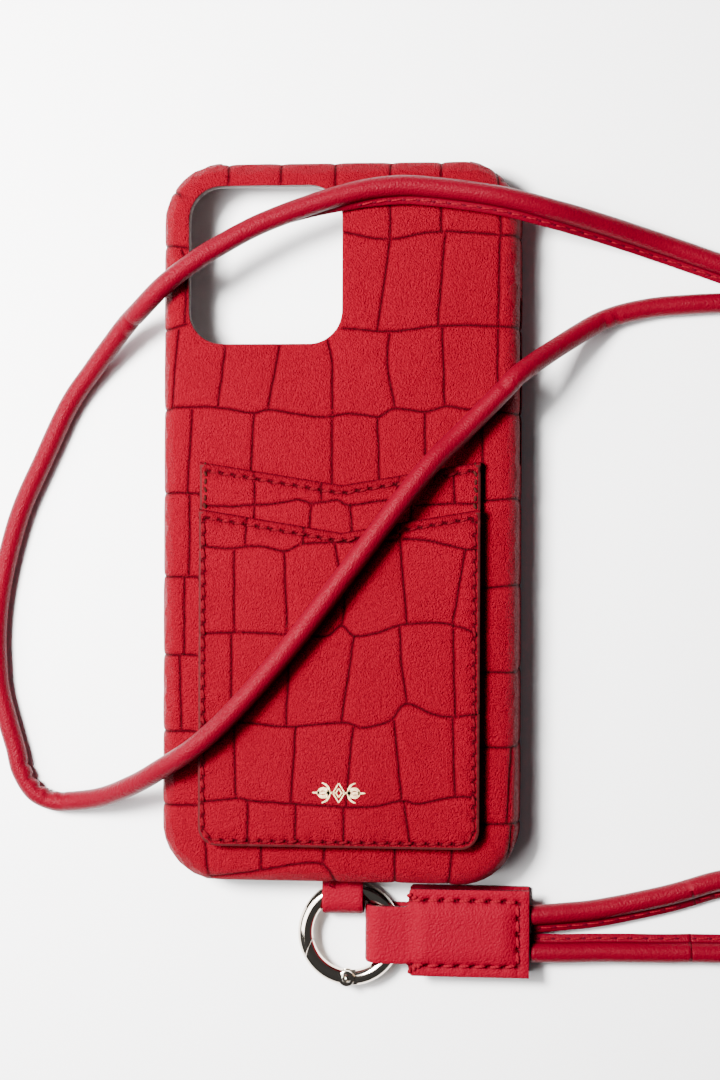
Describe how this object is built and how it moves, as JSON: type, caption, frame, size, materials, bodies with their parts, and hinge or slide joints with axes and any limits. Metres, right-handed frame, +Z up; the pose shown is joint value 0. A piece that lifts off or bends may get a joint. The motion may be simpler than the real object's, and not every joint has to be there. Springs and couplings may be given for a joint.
{
  "type": "phone wallet case",
  "caption": "Leather-covered phone case with a camera window, two stacked card pockets on the back, and a crossbody cord strap on a spring-gate ring.",
  "frame": {"origin": "middle of the base of everything but the strap, on the surface the case lies on", "axes": "+Y from the ring to the camera end, +X to the right seen from the wallet's side, +Z up out of the wallet"},
  "size_m": [0.2986, 0.174, 0.0198],
  "materials": {
    "coral_leather": "croc-embossed, pebbled, semi-matt",
    "shell_plastic": "satin dark brown",
    "microfibre": "soft nap",
    "thread": "waxed dusty pink thread",
    "chrome": "polished pale nickel",
    "gold_foil": "hot-stamped gold foil",
    "filler_board": "dyed fibre board"
  },
  "bodies": {
    "case": {"inner_shell": "shell_plastic", "leather_skin": "coral_leather", "microfibre_lining": "microfibre", "pocket_backing": "coral_leather", "rear_card_pocket": "coral_leather", "front_card_pocket": "coral_leather", "pocket_edge_thread": "thread", "rear_hem_thread": "thread", "front_hem_thread": "thread", "pocket_tack_left": "thread", "pocket_tack_right": "thread", "foil_ornament": "gold_foil", "ring_tab": "coral_leather", "strap_cord": "coral_leather", "strap_loop_inner": "coral_leather", "strap_loop_outer": "coral_leather"},
    "ring": {"ring_body": "chrome", "gate_rivet": "chrome"},
    "gate": {"ring_gate": "chrome", "gate_spring": "chrome", "spring_plunger": "chrome"},
    "connector": {"connector_leather": "coral_leather", "connector_filler": "filler_board", "connector_thread": "thread", "strap_end_upper": "coral_leather", "strap_end_lower": "coral_leather"}
  },
  "joints": [
    {"name": "ring_swing", "type": "hinge", "parent": "case", "child": "ring", "pos_m": [-0.0006, -0.06365, 0.0066], "axis": [-1, 0, 0], "range_deg": [0, 50], "deforming": ["ring_tab", "strap_loop_inner", "strap_loop_outer"]},
    {"name": "gate_hinge", "type": "hinge", "parent": "ring", "child": "gate", "pos_m": [0.00014, -0.08543, 0.00315], "axis": [0, 0, -1], "range_deg": [0, 34], "stiffness_Nm_per_rad": 0.02, "springref_deg": -11.46},
    {"name": "connector_swing", "type": "hinge", "parent": "ring", "child": "connector", "pos_m": [0.0122, -0.07495, 0.00315], "axis": [0, -1, 0], "range_deg": [0, 28], "deforming": ["connector_leather", "strap_end_upper", "strap_end_lower"]}
  ]
}
